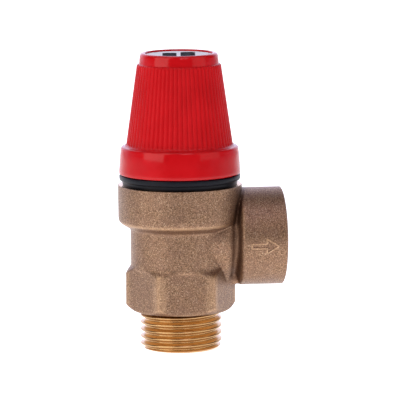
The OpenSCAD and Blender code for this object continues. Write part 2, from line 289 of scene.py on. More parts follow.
def surface_nets(f, lo, hi, h):
    """Quad mesh of f = 0 with its points drawn onto the surface."""
    n = [int(math.ceil((b - a) / h)) + 1 for a, b in zip(lo, hi)]
    gx, gy, gz = (lo[a] + h * np.arange(n[a]) for a in range(3))
    val = np.empty(n, np.float32)
    for k in range(n[0]):
        p = np.stack(np.meshgrid([gx[k]], gy, gz, indexing="ij"), -1)[0]
        val[k] = f(p)
    s = val < 0
    acc = np.zeros([m - 1 for m in n] + [3], np.float32)
    cnt = np.zeros([m - 1 for m in n], np.float32)
    nx, ny, nz = n
    quads = []

    def cells(axis):
        """Crossings of the edges along one axis, and the four cells round each."""
        if axis == 0:
            a, b = val[:-1], val[1:]
        elif axis == 1:
            a, b = val[:, :-1], val[:, 1:]
        else:
            a, b = val[:, :, :-1], val[:, :, 1:]
        cross = (a < 0) != (b < 0)
        i, j, k = np.nonzero(cross)
        t = a[i, j, k] / (a[i, j, k] - b[i, j, k])
        pos = np.stack([i, j, k], 1).astype(np.float32)
        pos[:, axis] += t
        return i, j, k, pos, a[i, j, k] < 0

    todo = []
    for axis in range(3):
        i, j, k, pos, up = cells(axis)
        o1, o2 = [q for q in range(3) if q != axis]
        idx = np.stack([i, j, k], 1)
        ring = []
        for d1, d2 in ((-1, -1), (0, -1), (0, 0), (-1, 0)):
            c = idx.copy()
            c[:, o1] += d1
            c[:, o2] += d2
            ring.append(c)
        ok = np.ones(len(idx), bool)
        for c in ring:
            for q in range(3):
                ok &= (c[:, q] >= 0) & (c[:, q] < n[q] - 1)
        for c in ring:
            cc = c[ok]
            np.add.at(acc, (cc[:, 0], cc[:, 1], cc[:, 2]), pos[ok])
            np.add.at(cnt, (cc[:, 0], cc[:, 1], cc[:, 2]), 1)
        todo.append(([c[ok] for c in ring], up[ok], axis))
    index = -np.ones(cnt.shape, np.int64)
    used = cnt > 0
    index[used] = np.arange(int(used.sum()))
    verts = (acc[used] / cnt[used][:, None]) * h + np.array(lo)
    for ring, up, axis in todo:
        q = np.stack([index[c[:, 0], c[:, 1], c[:, 2]] for c in ring], 1)
        flip = up if axis != 1 else ~up
        q[~flip] = q[~flip][:, ::-1]
        quads.append(q)
    faces = np.concatenate(quads)
    verts = verts.astype(np.float64)
    for _ in range(3):
        g = gradient(f, verts)
        d = f(verts)
        step = np.clip(d, -0.3 * h, 0.3 * h)[:, None] * g / np.maximum((g * g).sum(1), 0.2)[:, None]
        verts = verts - step
    return verts, faces


# ---------------------------------------------------------------- valve body
THREAD_R, ROOT_R, PITCH = 10.478, 9.3155, 1.814


def thread_steps(root, crest, pitch):
    """Half-rounded profile of one pitch as (height in the pitch, radius), from root to root."""
    rc = 0.16 * pitch
    pts = [(0.0, root), (0.035, root + 0.004), (0.09, root + 0.05), (0.14, root + 0.17)]
    pts += [(0.25, root + 0.46 * (crest - root)), (0.36, crest - 0.17), (0.41, crest - 0.05), (0.465, crest - 0.004), (0.5, crest)]
    pts += [(1 - a, b) for a, b in reversed(pts[1:-1])]
    return [(a * pitch, b) for a, b in pts]


def helix_rod(name, root, crest, pitch, phase, low, high, n, along="z", centre=0.0):
    """Closed rod with a right-hand thread, its rows laid along the helix. phase: height of a crest at angle 0."""
    steps = thread_steps(root, crest, pitch)
    per = len(steps)
    first = math.floor((low - phase) / pitch) - 1
    last = math.ceil((high - phase) / pitch) + 1
    s_rows = []
    for k in range(first, last):
        for a, b in steps:
            s_rows.append((phase + (k - 0.5) * pitch + a, b))
    m = len(s_rows)
    th = np.arange(n) * 2 * PI / n
    v = []
    for h, r0 in s_rows:
        v.append(np.stack([r0 * np.cos(th), r0 * np.sin(th), h + pitch * th / (2 * PI)], 1))
    v = np.concatenate(v)
    faces = []
    for k in range(m - 1):
        a, b = k * n, (k + 1) * n
        for i in range(n - 1):
            faces.append((a + i, a + i + 1, b + i + 1, b + i))
    # the last column meets the first one a pitch higher up
    for k in range(m - 1 - per):
        faces.append((k * n + n - 1, (k + per) * n, (k + 1 + per) * n, (k + 1) * n + n - 1))
    bottom = [i for i in range(n)] + [k * n for k in range(per, 0, -1)]
    top_row = (m - 1) * n
    top = [top_row + i for i in range(n - 1, -1, -1)] + [k * n + n - 1 for k in range(m - 1 - per, m - 1)]
    v = np.concatenate([v, [[0, 0, s_rows[0][0] + pitch / 2]], [[0, 0, s_rows[-1][0] + pitch / 2]]])
    cb, ct = len(v) - 2, len(v) - 1
    for loop, c in ((bottom, cb), (top, ct)):
        for q in range(len(loop)):
            faces.append((c, loop[(q + 1) % len(loop)], loop[q]))
    if along == "x":
        v = np.stack([v[:, 2], v[:, 1], centre - v[:, 0]], 1)
    ob = new_object(name, v, faces)
    fix_normals(ob)
    return ob


def fix_normals(ob):
    import bmesh
    bm = bmesh.new()
    bm.from_mesh(ob.data)
    bmesh.ops.recalc_face_normals(bm, faces=bm.faces)
    bm.to_mesh(ob.data)
    bm.free()


def revolved(name, pts, n, along="z", centre=0.0, closed=False):
    v, f = grid_solid(pts, n, closed, along=along, centre=centre)
    ob = new_object(name, v, f)
    fix_normals(ob)
    return ob


def spigot():
    n = 200
    rod = helix_rod("spigot", ROOT_R, THREAD_R, PITCH, 1.80 + PITCH / 4, -1.0, 12.0, n)
    trim = revolved("spigot_trim", [(9.35, 0.0), (9.6, 0.12), (10.7, 1.15), (10.7, 10.6)], 160)
    booleans(rod, [("INTERSECT", trim)])
    return rod


def outlet_tools():
    n = 160
    rod = helix_rod("outlet_tap", ROOT_R, THREAD_R, PITCH, 0.4, 14.0, 28.0, n, along="x", centre=OUT_Z)
    trim = revolved("outlet_trim", [(8.0, 15.7), (9.3, 15.75), (10.6, 17.0), (10.7, 27.5)], 160, along="x", centre=OUT_Z)
    booleans(rod, [("INTERSECT", trim)])
    bore = revolved("outlet_bore", [(7.5, 6.5), (7.5, 15.0), (8.0, 15.4), (9.0, 15.9), (9.1, 26.0), (9.3, 26.0), (9.32, 25.05), (9.7, 25.45),
                                    (10.62, 26.37), (10.66, 27.0)], 160, along="x", centre=OUT_Z)
    face = revolved("outlet_face", [(0.0, 26.36), (11.45, 26.36), (11.9, 26.28), (12.25, 26.14), (12.5, 26.0), (12.75, 25.8),
                                    (14.0, 25.4), (14.0, 30.0), (0.0, 30.0)], 160, along="x", centre=OUT_Z)
    return [rod, bore, face]


def cavity_tool():
    n = 192
    pts = [(7.6, -1.0), (7.6, 0.0), (7.0, 0.6), (7.0, 17.0), (6.0, 18.0), (6.0, 22.5), (6.8, 22.5), (7.6, 20.8),
           (10.4, 20.8), (10.4, 36.0), (13.35, 36.0), (13.35, 38.6)]
    for i in range(2):
        pts += [(13.35, 38.75 + 1.5 * i), (13.95, 39.1 + 1.5 * i), (13.95, 39.4 + 1.5 * i), (13.35, 39.75 + 1.5 * i)]
    pts += [(13.35, 41.75), (13.95, 42.35), (15.74, 42.35), (15.83, 42.3), (16.2, 41.9), (18.0, 41.9), (18.0, 45.0)]
    v, f = grid_solid(pts, n, False)
    return new_object("cavity_tool", v, f)


def arrow_bead():
    """Raised outline of an arrow, a bead that follows the boss's round front."""
    path = [(16.9, 26.95), (20.75, 26.95), (20.75, 25.6), (23.85, 27.5), (20.75, 29.4), (20.75, 28.1), (16.9, 28.1)]
    pts = []
    m = len(path)
    for k in range(m):
        a, b = np.array(path[k]), np.array(path[(k + 1) % m])
        length = np.linalg.norm(b - a)
        steps = max(2, int(length / 0.25))
        for t in np.arange(steps) / steps:
            pts.append(a + (b - a) * t)
    pts = np.array(pts)
    R = 12.54
    y = -np.sqrt(R * R - (pts[:, 1] - OUT_Z) ** 2)
    c = np.stack([pts[:, 0], y, pts[:, 1]], 1)
    out = np.stack([np.zeros(len(c)), y / R, (pts[:, 1] - OUT_Z) / R], 1)
    nxt, prv = np.roll(c, -1, 0), np.roll(c, 1, 0)
    tang = nxt - prv
    tang /= np.linalg.norm(tang, axis=1)[:, None]
    side = np.cross(tang, out)
    side /= np.linalg.norm(side, axis=1)[:, None]
    sides, n = 10, len(c)
    v = []
    for k in range(sides):
        a = 2 * PI * k / sides
        v.append(c + side * 0.30 * math.cos(a) + out * (0.27 * math.sin(a) - 0.02))
    v = np.stack(v, 1).reshape(-1, 3)
    i = np.arange(n)
    faces = []
    for k in range(sides):
        a, b = k, (k + 1) % sides
        faces.append(np.stack([i * sides + a, i * sides + b, ((i + 1) % n) * sides + b, ((i + 1) % n) * sides + a], 1))
    return new_object("arrow_bead", v, np.concatenate(faces))


def make_body():
    h = 0.36
    v, f = surface_nets(cast_distance, (-17.0, -17.0, 8.4), (29.0, 17.0, 44.2), h)
    g = gradient(cast_distance, v)
    g /= np.linalg.norm(g, axis=1)[:, None]
    v = v + g * (0.035 * value_noise(v, 4.1) + 0.02 * value_noise(v[:, [1, 2, 0]], 1.7))[:, None]
    body = new_object("valve_body_casting", v, f)
    tools = [spigot(), arrow_bead(), cavity_tool()]
    for t in [body] + tools:
        fix_normals(t)
    booleans(body, [("UNION", tools[0]), ("UNION", tools[1]), ("DIFFERENCE", tools[2])]
             + [("DIFFERENCE", t) for t in outlet_tools()])
    # slivers along the seams go
    me = body.data
    bm = bmesh.new()
    bm.from_mesh(me)
    bmesh.ops.remove_doubles(bm, verts=bm.verts, dist=3e-6)
    bmesh.ops.dissolve_degenerate(bm, dist=2e-6, edges=bm.edges)
    bm.to_mesh(me)
    bm.free()
    # cast skin, turned faces round the upright axis, turned faces round the outlet's axis
    n = len(me.polygons)
    c = np.empty(n * 3)
    me.polygons.foreach_get("center", c)
    c = c.reshape(-1, 3) / MM
    d = cast_distance(c)
    r = np.hypot(c[:, 0], c[:, 1])
    rho = np.hypot(c[:, 1], c[:, 2] - OUT_Z)
    turned = (np.abs(d) > 0.16) & ~((rho > 11.6) & (c[:, 0] > 14) & (c[:, 0] < 26.5) & (rho < 13.2))
    turned |= (c[:, 2] < 9.88)
    turned &= ~((r > 15.72) & (c[:, 2] > 41.7))
    by_x = turned & (c[:, 0] > 10.3) & (rho < 11.7)
    index = np.where(by_x, 2, np.where(turned, 1, 0)).astype(np.int32)
    me.polygons.foreach_set("material_index", index)
    p = np.empty(len(me.vertices) * 3)
    me.vertices.foreach_get("co", p)
    p = p.reshape(-1, 3) / MM
    g = gradient(cast_distance, p)
    g /= np.maximum(np.linalg.norm(g, axis=1), 1e-6)[:, None]
    skin = np.abs(cast_distance(p)) < 0.32
    # convex edges: real rubbed wear on the casting, and also painted highlight where the edges catch light
    worn = 2.2 * (cast_distance(p - 0.55 * g) + 0.55)
    r = np.hypot(p[:, 0], p[:, 1])
    # painted highlight on the hexagon's top corner chamfers and on the collar's lower rounded lip
    hex_corner_highlight = np.clip((r - 13.2) / 0.6, 0, 1) * np.clip((21.0 - p[:, 2]) / 0.8, 0, 1) * (p[:, 0] < 14.2)
    collar_lip_highlight = 0.85 * np.exp(-((p[:, 2] - 32.7) / 0.5) ** 2) * (r > 14.8) * (p[:, 0] < 12.5)
    worn = np.maximum(worn, np.maximum(0.55 * hex_corner_highlight, collar_lip_highlight))
    # concavity of the skin: keeps the wear off the hollows here, and marks where the shader paints shade
    hollow = 1.2 - cast_distance(p + 1.2 * g)
    worn = worn * np.clip(1.4 - 5 * hollow, 0, 1)
    rho = np.hypot(p[:, 1], p[:, 2] - OUT_Z)
    # the raised arrow's crest is lightened as well
    bead = np.clip((rho - 12.6) / 0.12, 0, 1) * ((p[:, 0] > 15) & (p[:, 0] < 26) & (rho < 13.2))
    worn = np.maximum(worn, 0.8 * bead)
    for name, value in (("worn", worn), ("hollow", hollow)):
        layer = me.attributes.new(name, "FLOAT", "POINT")
        layer.data.foreach_set("value", np.where(skin, np.clip(value, 0, 1), 0).astype(np.float32))
    smooth(body, 34)
    return body


# ---------------------------------------------------------------- knob
def knob_mesh():
    ribs, per = 64, 10
    n = ribs * per
    th = np.arange(n) * 2 * PI / n
    wave = np.abs(np.cos(ribs / 2 * th))
    wave = 1 - (1 - wave) ** 1.25
    ramp = 1.47 * PI / 180
    rows = []
    # inside, from the label recess down through the hub and up to the cam ring, then to the skirt
    rows += [(8.60, 75.95), (8.60, 75.33), (8.54, 75.25), (4.75, 75.25), (4.7, 75.2), (4.7, 73.1), (4.65, 73.05),
             (2.62, 73.05), (2.56, 73.0), (2.56, 70.1), (2.6, 70.05), (5.9, 70.05), (6.0, 70.1), (6.35, 71.3),
             (6.45, 71.5), (8.25, 71.5)]
    deg = np.degrees(th)
    lobe = np.where(deg < 1.5, deg + 360, deg)
    local = (lobe - 1.5) % 90.0 + 1.5
    zc = 68.1 + ramp * local
    rows += [(8.25, zc), (9.10, zc), (9.10, 71.5), (9.55, 71.5), (9.6, 71.4), (9.7, 67.5)]
    rows += [(9.7 + (12.0 - 9.7) * k / 5, 67.5 + (51.4 - 67.5) * k / 5) for k in range(1, 5)]
    rows += [(12.0, 51.4), (12.12, 51.1), (12.4, 50.85), (13.6, 50.8), (13.85, 50.7), (14.0, 50.4), (14.0, 47.9), (14.0, 45.4)]
    rows += arc(14.25, 45.4, 0.25, 180, 270, 4)[1:]
    # outside, from the lower edge upwards
    rows += [(15.2, 45.15)] + arc(15.25, 45.5, 0.35, -90, -4, 6)[1:]
    rows += [(15.58, 46.0), (15.53, 46.6), (15.46, 47.5), (15.39, 48.5), (15.33, 49.4), (15.26, 50.2), (15.17, 50.9),
             (15.07, 51.4)]
    rows += arc(14.44, 51.62, 0.62, 14, 84, 7)
    rows += [(14.1, 52.3), (13.95, 52.4)]

    def crest(z):
        return 13.44 - (z - 54.04) * 0.1415

    z_lo, z_hi = 52.45, 72.45
    deep = 0.31

    def fluted(z, share):
        R = crest(z)
        return R - deep * (0.75 + 0.25 * (R - 10.8) / 2.8) * (1 - wave) * share

    rows += [(fluted(52.47, 0.0) + 0.28, 52.47), (fluted(52.6, 0.25) + 0.06, 52.6), (fluted(52.85, 0.8), 52.85)]
    for z in np.linspace(53.2, z_hi, 16):
        rows.append((fluted(z, 1.0), z))
    # rounded top ends of the ribs
    base = 10.22
    top = fluted(z_hi, 1.0)
    for a in (15, 32, 50, 68, 82):
        t = math.radians(a)
        rows.append((base + (top - base) * math.cos(t) ** 0.8, z_hi + 0.85 * math.sin(t)))
    rows += [(10.225, 73.36), (10.2, 73.55)]
    rows += [(10.15, 74.0), (10.1, 74.5), (10.03, 74.95)]
    rows += chaikin([(10.03, 74.95), (9.97, 75.42), (9.8, 75.88), (9.35, 76.09), (9.0, 76.1)], 2)[1:]
    rows += [(8.7, 76.07), (8.63, 76.02)]
    v, f = grid_solid(rows, n, True)
    ob = new_object("relief_knob", v, f, 40)
    fix_normals(ob)
    smooth(ob, 42)
    return ob


# ---------------------------------------------------------------- bonnet
def bonnet_mesh():
    n = 240
    deg = np.arange(n) * 360.0 / n
    ramp = 1.47 * PI / 180
    zc = 68.0 + ramp * (deg % 90.0)
    rows = [(10.75, 38.4), (13.1, 38.4), (13.25, 38.5)]
    for i in range(2):
        z = 38.8 + 1.5 * i
        rows += [(13.25, z), (13.85, z + 0.35), (13.85, z + 0.55), (13.25, z + 0.9)]
    rows += [(13.25, 42.3), (13.3, 42.36), (14.55, 42.36), (14.62, 42.4), (14.66, 42.55), (14.72, 43.0), (14.76, 43.35)]
    rows += chaikin([(14.76, 43.35), (14.84, 43.55), (15.4, 43.62), (15.5, 44.0), (15.52, 44.6), (15.44, 44.95), (14.8, 45.0)], 2)[1:]
    rows += [(12.7, 45.0)] + chaikin([(12.7, 45.0), (12.3, 45.1), (12.2, 46.4), (10.0, 47.0), (9.3, 47.6), (9.3, 49.0)], 2)[1:]
    rows += [(9.3, 55.0), (9.3, 61.0), (9.3, 67.55), (9.25, 67.65), (9.15, 67.7)]
    rows += [(9.15, zc - 0.05), (9.10, zc), (8.25, zc), (8.2, zc - 0.05), (8.2, 67.7), (7.95, 67.7)]
    for i in (3, 2, 1, 0):
        z = 61.5 + 1.5 * i
        rows += [(7.95, z + 1.05), (7.95, z + 0.85), (7.45, z + 0.55), (7.45, z + 0.15)]
    rows += [(7.45, 61.2), (7.5, 61.0), (7.5, 52.0), (7.5, 44.6), (8.5, 43.0), (8.5, 42.2), (10.7, 40.2), (10.7, 38.45)]
    v, f = grid_solid(rows, n, True)
    ob = new_object("bonnet_moulding", v, f, 35)
    fix_normals(ob)
    smooth(ob, 38)
    return ob


# ---------------------------------------------------------------- spring, diaphragm, label
def spring_mesh():
    turns, wire, mean, z0, z1 = 7.5, 1.6, 12.7, 39.4, 61.0
    lo, hi, c, e = z0 + wire / 2, z1 - wire / 2, wire + 0.03, 1.0
    live = turns - 2 * e
    seg, sides = 64, 16
    m = int(turns * seg)
    t = np.arange(m + 1) / seg
    z = np.where(t < e, lo + c * t * t / (2 * e),
                 np.where(t > turns - e, hi - c * (turns - t) ** 2 / (2 * e), lo + c * e / 2 + (hi - lo - c * e) * (t - e) / live))
    a = 2 * PI * t
    v = []
    for j in range(sides):
        b = 2 * PI * j / sides
        r = mean / 2 + wire / 2 * math.cos(b)
        zz = np.clip(z + wire / 2 * math.sin(b), z0 + 0.01, z1 - 0.01)
        v.append(np.stack([r * np.cos(a), r * np.sin(a), zz], 1))
    v = np.stack(v, 1).reshape(-1, 3)
    i = np.arange(m)
    faces = []
    for j in range(sides):
        p, q = j, (j + 1) % sides
        faces += [tuple(x) for x in np.stack([i * sides + p, (i + 1) * sides + p, (i + 1) * sides + q, i * sides + q], 1)]
    faces.append(tuple(range(sides)))
    faces.append(tuple(m * sides + k for k in reversed(range(sides))))
    ob = new_object("spring_coil", v, faces, 40)
    fix_normals(ob)
    smooth(ob, 40)
    return ob


def diaphragm_mesh():
    z0, t = 36.0, 1.6
    low = [(2.6, z0), (8.5, z0)]
    low += [(9.6 - 1.0 * math.cos(math.radians(a)), z0 + 0.9 * math.sin(math.radians(a))) for a in range(10, 180, 10)]
    low += [(10.7, z0), (13.1, z0), (13.2, z0 + 0.1), (13.2, z0 + t - 0.1), (13.1, z0 + t), (10.75, z0 + t)]
    low += [(9.5 - 1.1 * math.cos(math.radians(a)), z0 + t + 0.75 * math.sin(math.radians(a))) for a in range(170, 0, -10)]
    low += [(8.3, z0 + t), (2.6, z0 + t), (2.55, z0 + t - 0.05), (2.55, z0 + 0.05)]
    v, f = grid_solid(low, 160, True)
    ob = new_object("diaphragm_membrane", v, f, 40)
    fix_normals(ob)
    smooth(ob, 40)
    return ob


def label_mesh():
    rows = [(8.44, 75.27), (8.49, 75.3), (8.5, 75.58), (8.45, 75.63), (8.2, 75.65)]
    rows += [(q, 75.65) for q in (7.2, 6.0, 4.8, 3.6, 2.4, 1.2)]
    v, f = grid_solid(rows, 128, False)
    ob = new_object("label_film_disc", v, f, 35)
    fix_normals(ob)
    smooth(ob, 35)
    return ob


# ---------------------------------------------------------------- materials
class Tree:
    """A short way to write a node tree."""

    def __init__(self, name):
        self.mat = bpy.data.materials.new(name)
        self.mat.use_nodes = True
        self.nt = self.mat.node_tree
        self.nt.nodes.clear()
        self.out = self.nt.nodes.new("ShaderNodeOutputMaterial")
        self.b = self.nt.nodes.new("ShaderNodeBsdfPrincipled")
        self.link(self.b.outputs[0], self.out.inputs[0])
        self.co = self.nt.nodes.new("ShaderNodeTexCoord").outputs["Object"]

    def link(self, a, b):
        self.nt.links.new(a, b)

    def put(self, node, key, value):
        if hasattr(value, "is_output"):
            self.link(value, node.inputs[key])
        else:
            node.inputs[key].default_value = value

    def set(self, **kw):
        names = dict(color="Base Color", metallic="Metallic", rough="Roughness", normal="Normal", coat="Coat Weight",
                     coat_rough="Coat Roughness", spec="Specular IOR Level", ior="IOR", aniso="Anisotropic",
                     sheen="Sheen Weight", tint="Specular Tint")
        for k, v in kw.items():
            self.put(self.b, names[k], v)

    def scaled(self, x, y, z, src=None):
        n = self.nt.nodes.new("ShaderNodeMapping")
        n.inputs["Scale"].default_value = (x, y, z)
        self.link(src or self.co, n.inputs["Vector"])
        return n.outputs[0]

    def noise(self, scale, detail=2.0, rough=0.5, src=None, dist=0.0):
        n = self.nt.nodes.new("ShaderNodeTexNoise")
        n.inputs["Scale"].default_value = scale
        n.inputs["Detail"].default_value = detail
        n.inputs["Roughness"].default_value = rough
        n.inputs["Distortion"].default_value = dist
        self.link(src or self.co, n.inputs["Vector"])
        return n.outputs[0]

    def voronoi(self, scale, feature="F1", out="Distance", src=None):
        n = self.nt.nodes.new("ShaderNodeTexVoronoi")
        n.feature = feature
        n.inputs["Scale"].default_value = scale
        self.link(src or self.co, n.inputs["Vector"])
        return n.outputs[out]

    def math(self, op, a, b=0.0, clamp=False):
        n = self.nt.nodes.new("ShaderNodeMath")
        n.operation = op
        n.use_clamp = clamp
        self.put(n, 0, a)
        self.put(n, 1, b)
        return n.outputs[0]

    def fit(self, v, a, b, c=0.0, d=1.0, smoothstep=False):
        n = self.nt.nodes.new("ShaderNodeMapRange")
        if smoothstep:
            n.interpolation_type = "SMOOTHSTEP"
        self.put(n, 0, v)
        for k, x in zip((1, 2, 3, 4), (a, b, c, d)):
            self.put(n, k, x)
        return n.outputs[0]

    def mix(self, f, a, b, mode="MIX"):
        n = self.nt.nodes.new("ShaderNodeMix")
        n.data_type = "RGBA"
        n.blend_type = mode
        self.put(n, 0, f)
        for key, v in (("A", a), ("B", b)):
            s = [q for q in n.inputs if q.name == key and q.type == "RGBA"][0]
            if hasattr(v, "is_output"):
                self.link(v, s)
            else:
                s.default_value = (*v, 1.0) if len(v) == 3 else v
        return [q for q in n.outputs if q.type == "RGBA"][0]

    def xyz(self, src=None):
        n = self.nt.nodes.new("ShaderNodeSeparateXYZ")
        self.link(src or self.co, n.inputs[0])
        return n.outputs[0], n.outputs[1], n.outputs[2]

    def bump(self, height, strength, distance, normal=None):
        n = self.nt.nodes.new("ShaderNodeBump")
        n.inputs["Strength"].default_value = strength
        n.inputs["Distance"].default_value = distance
        self.link(height, n.inputs["Height"])
        if normal is not None:
            self.link(normal, n.inputs["Normal"])
        return n.outputs[0]

    def layer(self, name):
        node = self.nt.nodes.new("ShaderNodeAttribute")
        node.attribute_name = name
        return node.outputs["Fac"]

    def pointiness(self):
        return self.nt.nodes.new("ShaderNodeNewGeometry").outputs["Pointiness"]


def cast_brass():
    t = Tree("cast_brass_sandblasted")
    blotch = t.noise(330, 3, 0.55)
    grain = t.noise(3900, 2, 0.6)
    fine = t.noise(9000, 2, 0.6)
    spark = t.voronoi(6200, out="Color")
    sx, sy, _ = t.xyz(spark)
    c = t.mix(t.fit(grain, 0.38, 0.62), (0.064, 0.032, 0.018), (0.400, 0.236, 0.137))
    c = t.mix(t.fit(blotch, 0.35, 0.65, 0.0, 0.38), c, (0.200, 0.112, 0.086))
    c = t.mix(t.fit(fine, 0.40, 0.66, 0.0, 0.55), c, (0.365, 0.222, 0.136))
    dark = t.fit(sy, 0.86, 0.97)
    c = t.mix(t.math("MULTIPLY", dark, 0.5), c, (0.045, 0.023, 0.014))
    glint = t.fit(sx, 0.88, 0.97)
    c = t.mix(t.math("MULTIPLY", glint, 0.55), c, (0.70, 0.50, 0.33))
    # lightens convex edges: rubbed wear, plus painted highlight on the hex corners and the collar lip
    edge_wear_and_highlight = t.fit(t.layer("worn"), 0.08, 0.75, 0.0, 0.8)
    c = t.mix(edge_wear_and_highlight, c, (0.20, 0.135, 0.075), "ADD")
    # painted shade: concave hollows darkened, and the groove between the throat and the outlet boss darkened more
    # towards the bottom
    hollow = t.fit(t.layer("hollow"), 0.10, 0.65, 0.0, 0.7)
    x, y, z = t.xyz()
    up = t.math("SUBTRACT", z, 0.02846)
    out = t.math("SQRT", t.math("ADD", t.math("MULTIPLY", y, y), t.math("MULTIPLY", up, up)))
    groove_shade = t.math("MULTIPLY", t.fit(x, 0.0108, 0.0123, smoothstep=True), t.fit(out, 0.0121, 0.0110, smoothstep=True))
    groove_shade = t.math("MULTIPLY", groove_shade, t.fit(z, 0.0345, 0.0290, 0.2, 0.62))
    c = t.mix(t.math("MAXIMUM", hollow, groove_shade), c, (0.085, 0.040, 0.022))
    t.set(color=c, metallic=0.9)
    rr = t.fit(grain, 0.3, 0.7, 0.47, 0.36)
    rr = t.math("SUBTRACT", rr, t.math("MULTIPLY", glint, 0.10))
    t.set(rough=rr)
    h = t.math("ADD", t.math("MULTIPLY", grain, 0.7), t.math("MULTIPLY", fine, 0.35))
    t.set(normal=t.bump(h, 0.9, 0.00009))
    return t.mat


def turned_brass(name, axis):
    t = Tree(name)
    s = {"z": (60, 60, 5200), "x": (5200, 60, 60)}[axis]
    lines = t.noise(1.0, 4, 0.7, src=t.scaled(*s))
    stain = t.noise(420, 3, 0.6)
    c = t.mix(t.fit(lines, 0.3, 0.7), (0.42, 0.236, 0.094), (0.66, 0.425, 0.200))
    c = t.mix(t.fit(stain, 0.45, 0.75, 0.0, 0.35), c, (0.33, 0.180, 0.070))
    t.set(color=c, metallic=1.0, rough=t.fit(lines, 0.3, 0.7, 0.12, 0.24))
    t.set(normal=t.bump(lines, 0.25, 0.00003))
    return t.mat


def red_plastic():
    t = Tree("red_moulded_plastic")
    _, _, z = t.xyz()
    grip = t.math("MULTIPLY", t.fit(z, 0.0523, 0.0530), t.fit(z, 0.0735, 0.0731))
    cloud = t.noise(160, 3, 0.5)
    skin = t.noise(1500, 2, 0.5)
    micro = t.noise(9000, 2, 0.6)
    c = t.mix(t.fit(cloud, 0.3, 0.7), (0.475, 0.0050, 0.0075), (0.560, 0.0074, 0.0108))
    # dust and handling polish in the grip
    c = t.mix(t.math("MULTIPLY", grip, t.fit(micro, 0.55, 0.8, 0.0, 0.14)), c, (0.72, 0.06, 0.06))
    r = t.fit(grip, 0.0, 1.0, 0.12, 0.34)
    r = t.math("ADD", r, t.fit(skin, 0.3, 0.7, -0.02, 0.03))
    t.set(color=c, rough=r, ior=1.50, spec=t.fit(grip, 0, 1, 0.23, 0.09))
    h = t.math("ADD", t.math("MULTIPLY", skin, 1.0), t.math("MULTIPLY", micro, t.fit(grip, 0, 1, 0.02, 0.25)))
    t.set(normal=t.bump(h, 0.12, 0.00006))
    return t.mat


def black_nylon():
    t = Tree("black_nylon_moulded")
    skin = t.noise(1800, 3, 0.6)
    fibre = t.noise(1.0, 3, 0.6, src=t.scaled(2600, 2600, 700))
    c = t.mix(t.fit(skin, 0.3, 0.7), (0.0035, 0.0040, 0.0068), (0.008, 0.009, 0.014))
    c = t.mix(t.fit(fibre, 0.55, 0.8, 0.0, 0.35), c, (0.020, 0.022, 0.028))
    t.set(color=c, rough=t.fit(skin, 0.3, 0.7, 0.28, 0.40), ior=1.5, spec=0.14)
    t.set(normal=t.bump(t.math("ADD", skin, t.math("MULTIPLY", fibre, 0.5)), 0.20, 0.00008))
    return t.mat


def rubber():
    t = Tree("moulded_rubber")
    n = t.noise(1400, 4, 0.6)
    c = t.mix(t.fit(n, 0.3, 0.7), (0.016, 0.016, 0.018), (0.034, 0.034, 0.037))
    t.set(color=c, rough=t.fit(n, 0.3, 0.7, 0.55, 0.72))
    t.set(normal=t.bump(n, 0.3, 0.00006))
    return t.mat


def natural_plastic():
    t = Tree("natural_acetal")
    n = t.noise(900, 3, 0.5)
    c = t.mix(t.fit(n, 0.3, 0.7), (0.66, 0.62, 0.52), (0.76, 0.73, 0.64))
    t.set(color=c, rough=0.38)
    t.set(normal=t.bump(n, 0.15, 0.00005))
    return t.mat


def plated_steel():
    t = Tree("zinc_plated_steel")
    n = t.noise(1.0, 3, 0.6, src=t.scaled(900, 900, 4200))
    spangle = t.voronoi(900, out="Color")
    sx, _, _ = t.xyz(spangle)
    c = t.mix(t.fit(n, 0.3, 0.7), (0.50, 0.51, 0.53), (0.72, 0.73, 0.76))
    c = t.mix(t.fit(sx, 0, 1, 0.0, 0.18), c, (0.62, 0.64, 0.60))
    t.set(color=c, metallic=1.0, rough=t.fit(n, 0.3, 0.7, 0.24, 0.40))
    t.set(normal=t.bump(n, 0.2, 0.00003))
    return t.mat


def spring_steel():
    t = Tree("spring_wire")
    n = t.noise(2400, 3, 0.6)
    c = t.mix(t.fit(n, 0.3, 0.7), (0.30, 0.31, 0.33), (0.52, 0.53, 0.55))
    t.set(color=c, metallic=1.0, rough=t.fit(n, 0.3, 0.7, 0.26, 0.42))
    t.set(normal=t.bump(n, 0.2, 0.00003))
    return t.mat


def rounded_box(t, u, v, cu, cv, hu, hv, r, soft):
    """1 inside a rounded rectangle, all in metres."""
    qu = t.math("MAXIMUM", t.math("SUBTRACT", t.math("ABSOLUTE", t.math("SUBTRACT", u, cu)), hu - r), 0.0)
    qv = t.math("MAXIMUM", t.math("SUBTRACT", t.math("ABSOLUTE", t.math("SUBTRACT", v, cv)), hv - r), 0.0)
    d = t.math("SQRT", t.math("ADD", t.math("MULTIPLY", qu, qu), t.math("MULTIPLY", qv, qv)))
    return t.fit(d, r + soft, r - soft)


